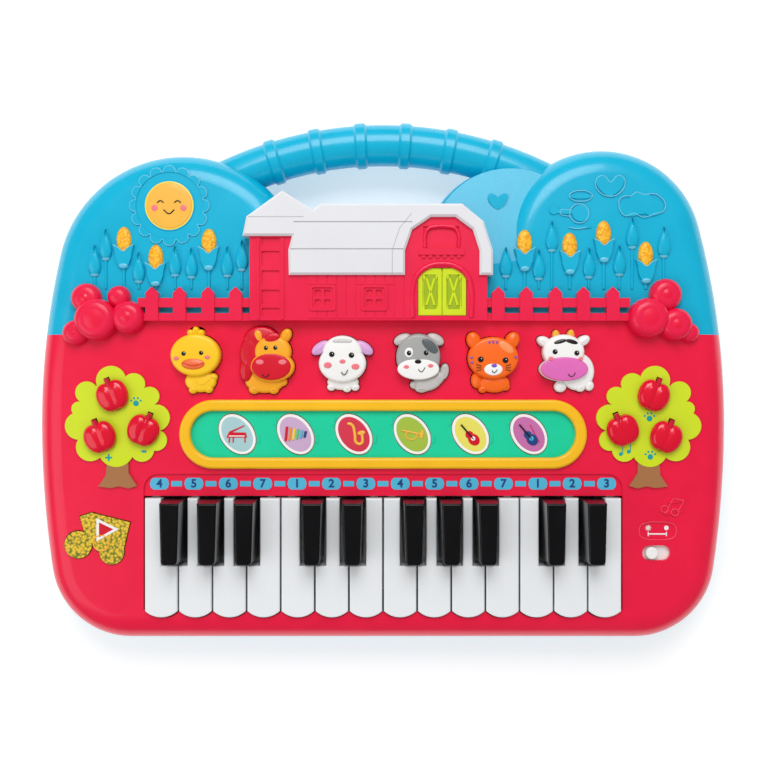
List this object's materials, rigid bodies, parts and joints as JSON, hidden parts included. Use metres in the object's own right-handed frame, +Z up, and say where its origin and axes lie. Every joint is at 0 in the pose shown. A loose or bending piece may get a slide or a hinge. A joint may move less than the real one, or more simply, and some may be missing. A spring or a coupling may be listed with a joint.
{
  "type": "toy electronic keyboard",
  "caption": "Child's toy piano lying flat: carry handle, red face, piano keys, animal and apple push buttons, oval instrument pads, raised barn and fence.",
  "frame": {"origin": "on the table under the middle of the toy's outline", "axes": "+Z up through the playing face, +Y from the player to the carry handle, +X to the player's right"},
  "size_m": [0.39, 0.2949, 0.06],
  "materials": {
    "blue_shell": "moulded, satin",
    "front_cover": "moulded, satin",
    "barn_front": "moulded, satin",
    "barn_roof": "moulded, satin",
    "barn_doors": "moulded, satin",
    "tree_plates": "printed plate",
    "panel_bezel": "moulded, satin",
    "panel_overlay": "printed sheet",
    "key_pivot_rod": "drawn wire",
    "circuit_board": "solder mask",
    "contact_pads": "moulded silicone",
    "speaker": "black steel frame",
    "battery_contacts": "nickel plated",
    "screws": "zinc plated",
    "white_key": "moulded, glossy",
    "black_key": "moulded, glossy",
    "duck": "moulded and painted",
    "horse": "moulded and painted",
    "sheep": "moulded and painted",
    "dog": "moulded and painted",
    "cat": "moulded and painted",
    "cow": "moulded and painted",
    "apple": "moulded, glossy",
    "instrument_pad": "printed",
    "note_button": "translucent, moulded",
    "power_switch_knob": "moulded"
  },
  "bodies": {
    "case": {"rear_cover": "blue_shell", "front_cover": "front_cover", "sky_cover": "blue_shell", "barn_front": "barn_front", "barn_roof": "barn_roof", "barn_doors": "barn_doors", "tree_plates": "tree_plates", "panel_bezel": "panel_bezel", "panel_overlay": "panel_overlay", "key_pivot_rod": "key_pivot_rod", "circuit_board": "circuit_board", "contact_pads": "contact_pads", "speaker": "speaker", "battery_contacts": "battery_contacts", "screws": "screws"},
    "battery_door": {"battery_door": "blue_shell"},
    "white_key_1": {"white_key_1": "white_key"},
    "white_key_8": {"white_key_8": "white_key"},
    "black_key_1": {"black_key_1": "black_key"},
    "black_key_6": {"black_key_6": "black_key"},
    "duck_button": {"duck_button": "duck"},
    "horse_button": {"horse_button": "horse"},
    "sheep_button": {"sheep_button": "sheep"},
    "dog_button": {"dog_button": "dog"},
    "cat_button": {"cat_button": "cat"},
    "cow_button": {"cow_button": "cow"},
    "apple_button_1": {"apple_button_1": "apple"},
    "apple_button_4": {"apple_button_4": "apple"},
    "note_button": {"note_button": "note_button"},
    "power_switch_knob": {"power_switch_knob": "power_switch_knob"},
    "piano_button": {"piano_button": "instrument_pad"},
    "guitar_button": {"guitar_button": "instrument_pad"},
    "white_key_2": {"white_key_2": "white_key"},
    "white_key_3": {"white_key_3": "white_key"},
    "white_key_4": {"white_key_4": "white_key"},
    "white_key_5": {"white_key_5": "white_key"},
    "white_key_6": {"white_key_6": "white_key"},
    "white_key_7": {"white_key_7": "white_key"},
    "white_key_9": {"white_key_9": "white_key"},
    "white_key_10": {"white_key_10": "white_key"},
    "white_key_11": {"white_key_11": "white_key"},
    "white_key_12": {"white_key_12": "white_key"},
    "white_key_13": {"white_key_13": "white_key"},
    "white_key_14": {"white_key_14": "white_key"},
    "black_key_2": {"black_key_2": "black_key"},
    "black_key_3": {"black_key_3": "black_key"},
    "black_key_4": {"black_key_4": "black_key"},
    "black_key_5": {"black_key_5": "black_key"},
    "black_key_7": {"black_key_7": "black_key"},
    "black_key_8": {"black_key_8": "black_key"},
    "black_key_9": {"black_key_9": "black_key"},
    "black_key_10": {"black_key_10": "black_key"},
    "apple_button_2": {"apple_button_2": "apple"},
    "apple_button_3": {"apple_button_3": "apple"},
    "apple_button_5": {"apple_button_5": "apple"},
    "apple_button_6": {"apple_button_6": "apple"},
    "xylophone_button": {"xylophone_button": "instrument_pad"},
    "saxophone_button": {"saxophone_button": "instrument_pad"},
    "trumpet_button": {"trumpet_button": "instrument_pad"},
    "violin_button": {"violin_button": "instrument_pad"}
  },
  "joints": [
    {"name": "battery_door_hinge", "type": "hinge", "parent": "case", "child": "battery_door", "pos_m": [0, 0.021, 0.002], "axis": [-1, 0, 0], "range_deg": [0, 70]},
    {"name": "white_key_1_press", "type": "hinge", "parent": "case", "child": "white_key_1", "pos_m": [0, -0.048, 0.033], "axis": [1, 0, 0], "range_deg": [0, 3], "stiffness_Nm_per_rad": 0.5, "springref_deg": -2.86},
    {"name": "white_key_8_press", "type": "hinge", "parent": "case", "child": "white_key_8", "pos_m": [0, -0.048, 0.033], "axis": [1, 0, 0], "range_deg": [0, 3], "stiffness_Nm_per_rad": 0.5, "springref_deg": -2.86},
    {"name": "black_key_1_press", "type": "hinge", "parent": "case", "child": "black_key_1", "pos_m": [0, -0.048, 0.033], "axis": [1, 0, 0], "range_deg": [0, 3], "stiffness_Nm_per_rad": 0.5, "springref_deg": -2.86},
    {"name": "black_key_6_press", "type": "hinge", "parent": "case", "child": "black_key_6", "pos_m": [0, -0.048, 0.033], "axis": [1, 0, 0], "range_deg": [0, 3], "stiffness_Nm_per_rad": 0.5, "springref_deg": -2.86},
    {"name": "duck_button_press", "type": "slide", "parent": "case", "child": "duck_button", "axis": [0, 0, -1], "range_m": [0, 0.002], "stiffness_N_per_m": 300, "springref_m": -0.002},
    {"name": "horse_button_press", "type": "slide", "parent": "case", "child": "horse_button", "axis": [0, 0, -1], "range_m": [0, 0.002], "stiffness_N_per_m": 300, "springref_m": -0.002},
    {"name": "sheep_button_press", "type": "slide", "parent": "case", "child": "sheep_button", "axis": [0, 0, -1], "range_m": [0, 0.002], "stiffness_N_per_m": 300, "springref_m": -0.002},
    {"name": "dog_button_press", "type": "slide", "parent": "case", "child": "dog_button", "axis": [0, 0, -1], "range_m": [0, 0.002], "stiffness_N_per_m": 300, "springref_m": -0.002},
    {"name": "cat_button_press", "type": "slide", "parent": "case", "child": "cat_button", "axis": [0, 0, -1], "range_m": [0, 0.002], "stiffness_N_per_m": 300, "springref_m": -0.002},
    {"name": "cow_button_press", "type": "slide", "parent": "case", "child": "cow_button", "axis": [0, 0, -1], "range_m": [0, 0.002], "stiffness_N_per_m": 300, "springref_m": -0.002},
    {"name": "apple_button_1_press", "type": "slide", "parent": "case", "child": "apple_button_1", "axis": [0, 0, -1], "range_m": [0, 0.0016], "stiffness_N_per_m": 300, "springref_m": -0.002},
    {"name": "apple_button_4_press", "type": "slide", "parent": "case", "child": "apple_button_4", "axis": [0, 0, -1], "range_m": [0, 0.0016], "stiffness_N_per_m": 300, "springref_m": -0.002},
    {"name": "note_button_press", "type": "slide", "parent": "case", "child": "note_button", "axis": [0, 0, -1], "range_m": [0, 0.0015], "stiffness_N_per_m": 300, "springref_m": -0.002},
    {"name": "power_switch_slide", "type": "slide", "parent": "case", "child": "power_switch_knob", "axis": [1, 0, 0], "range_m": [0, 0.0054]},
    {"name": "piano_button_press", "type": "slide", "parent": "case", "child": "piano_button", "axis": [0, 0, -1], "range_m": [0, 0.0006], "stiffness_N_per_m": 300, "springref_m": -0.002},
    {"name": "guitar_button_press", "type": "slide", "parent": "case", "child": "guitar_button", "axis": [0, 0, -1], "range_m": [0, 0.0006], "stiffness_N_per_m": 300, "springref_m": -0.002},
    {"name": "white_key_2_press", "type": "hinge", "parent": "case", "child": "white_key_2", "pos_m": [0, -0.048, 0.033], "axis": [1, 0, 0], "range_deg": [0, 3], "stiffness_Nm_per_rad": 0.5, "springref_deg": -2.86},
    {"name": "white_key_3_press", "type": "hinge", "parent": "case", "child": "white_key_3", "pos_m": [0, -0.048, 0.033], "axis": [1, 0, 0], "range_deg": [0, 3], "stiffness_Nm_per_rad": 0.5, "springref_deg": -2.86},
    {"name": "white_key_4_press", "type": "hinge", "parent": "case", "child": "white_key_4", "pos_m": [0, -0.048, 0.033], "axis": [1, 0, 0], "range_deg": [0, 3], "stiffness_Nm_per_rad": 0.5, "springref_deg": -2.86},
    {"name": "white_key_5_press", "type": "hinge", "parent": "case", "child": "white_key_5", "pos_m": [0, -0.048, 0.033], "axis": [1, 0, 0], "range_deg": [0, 3], "stiffness_Nm_per_rad": 0.5, "springref_deg": -2.86},
    {"name": "white_key_6_press", "type": "hinge", "parent": "case", "child": "white_key_6", "pos_m": [0, -0.048, 0.033], "axis": [1, 0, 0], "range_deg": [0, 3], "stiffness_Nm_per_rad": 0.5, "springref_deg": -2.86},
    {"name": "white_key_7_press", "type": "hinge", "parent": "case", "child": "white_key_7", "pos_m": [0, -0.048, 0.033], "axis": [1, 0, 0], "range_deg": [0, 3], "stiffness_Nm_per_rad": 0.5, "springref_deg": -2.86},
    {"name": "white_key_9_press", "type": "hinge", "parent": "case", "child": "white_key_9", "pos_m": [0, -0.048, 0.033], "axis": [1, 0, 0], "range_deg": [0, 3], "stiffness_Nm_per_rad": 0.5, "springref_deg": -2.86},
    {"name": "white_key_10_press", "type": "hinge", "parent": "case", "child": "white_key_10", "pos_m": [0, -0.048, 0.033], "axis": [1, 0, 0], "range_deg": [0, 3], "stiffness_Nm_per_rad": 0.5, "springref_deg": -2.86},
    {"name": "white_key_11_press", "type": "hinge", "parent": "case", "child": "white_key_11", "pos_m": [0, -0.048, 0.033], "axis": [1, 0, 0], "range_deg": [0, 3], "stiffness_Nm_per_rad": 0.5, "springref_deg": -2.86},
    {"name": "white_key_12_press", "type": "hinge", "parent": "case", "child": "white_key_12", "pos_m": [0, -0.048, 0.033], "axis": [1, 0, 0], "range_deg": [0, 3], "stiffness_Nm_per_rad": 0.5, "springref_deg": -2.86},
    {"name": "white_key_13_press", "type": "hinge", "parent": "case", "child": "white_key_13", "pos_m": [0, -0.048, 0.033], "axis": [1, 0, 0], "range_deg": [0, 3], "stiffness_Nm_per_rad": 0.5, "springref_deg": -2.86},
    {"name": "white_key_14_press", "type": "hinge", "parent": "case", "child": "white_key_14", "pos_m": [0, -0.048, 0.033], "axis": [1, 0, 0], "range_deg": [0, 3], "stiffness_Nm_per_rad": 0.5, "springref_deg": -2.86},
    {"name": "black_key_2_press", "type": "hinge", "parent": "case", "child": "black_key_2", "pos_m": [0, -0.048, 0.033], "axis": [1, 0, 0], "range_deg": [0, 3], "stiffness_Nm_per_rad": 0.5, "springref_deg": -2.86},
    {"name": "black_key_3_press", "type": "hinge", "parent": "case", "child": "black_key_3", "pos_m": [0, -0.048, 0.033], "axis": [1, 0, 0], "range_deg": [0, 3], "stiffness_Nm_per_rad": 0.5, "springref_deg": -2.86},
    {"name": "black_key_4_press", "type": "hinge", "parent": "case", "child": "black_key_4", "pos_m": [0, -0.048, 0.033], "axis": [1, 0, 0], "range_deg": [0, 3], "stiffness_Nm_per_rad": 0.5, "springref_deg": -2.86},
    {"name": "black_key_5_press", "type": "hinge", "parent": "case", "child": "black_key_5", "pos_m": [0, -0.048, 0.033], "axis": [1, 0, 0], "range_deg": [0, 3], "stiffness_Nm_per_rad": 0.5, "springref_deg": -2.86},
    {"name": "black_key_7_press", "type": "hinge", "parent": "case", "child": "black_key_7", "pos_m": [0, -0.048, 0.033], "axis": [1, 0, 0], "range_deg": [0, 3], "stiffness_Nm_per_rad": 0.5, "springref_deg": -2.86},
    {"name": "black_key_8_press", "type": "hinge", "parent": "case", "child": "black_key_8", "pos_m": [0, -0.048, 0.033], "axis": [1, 0, 0], "range_deg": [0, 3], "stiffness_Nm_per_rad": 0.5, "springref_deg": -2.86},
    {"name": "black_key_9_press", "type": "hinge", "parent": "case", "child": "black_key_9", "pos_m": [0, -0.048, 0.033], "axis": [1, 0, 0], "range_deg": [0, 3], "stiffness_Nm_per_rad": 0.5, "springref_deg": -2.86},
    {"name": "black_key_10_press", "type": "hinge", "parent": "case", "child": "black_key_10", "pos_m": [0, -0.048, 0.033], "axis": [1, 0, 0], "range_deg": [0, 3], "stiffness_Nm_per_rad": 0.5, "springref_deg": -2.86},
    {"name": "apple_button_2_press", "type": "slide", "parent": "case", "child": "apple_button_2", "axis": [0, 0, -1], "range_m": [0, 0.0016], "stiffness_N_per_m": 300, "springref_m": -0.002},
    {"name": "apple_button_3_press", "type": "slide", "parent": "case", "child": "apple_button_3", "axis": [0, 0, -1], "range_m": [0, 0.0016], "stiffness_N_per_m": 300, "springref_m": -0.002},
    {"name": "apple_button_5_press", "type": "slide", "parent": "case", "child": "apple_button_5", "axis": [0, 0, -1], "range_m": [0, 0.0016], "stiffness_N_per_m": 300, "springref_m": -0.002},
    {"name": "apple_button_6_press", "type": "slide", "parent": "case", "child": "apple_button_6", "axis": [0, 0, -1], "range_m": [0, 0.0016], "stiffness_N_per_m": 300, "springref_m": -0.002},
    {"name": "xylophone_button_press", "type": "slide", "parent": "case", "child": "xylophone_button", "axis": [0, 0, -1], "range_m": [0, 0.0006], "stiffness_N_per_m": 300, "springref_m": -0.002},
    {"name": "saxophone_button_press", "type": "slide", "parent": "case", "child": "saxophone_button", "axis": [0, 0, -1], "range_m": [0, 0.0006], "stiffness_N_per_m": 300, "springref_m": -0.002},
    {"name": "trumpet_button_press", "type": "slide", "parent": "case", "child": "trumpet_button", "axis": [0, 0, -1], "range_m": [0, 0.0006], "stiffness_N_per_m": 300, "springref_m": -0.002},
    {"name": "violin_button_press", "type": "slide", "parent": "case", "child": "violin_button", "axis": [0, 0, -1], "range_m": [0, 0.0006], "stiffness_N_per_m": 300, "springref_m": -0.002}
  ]
}
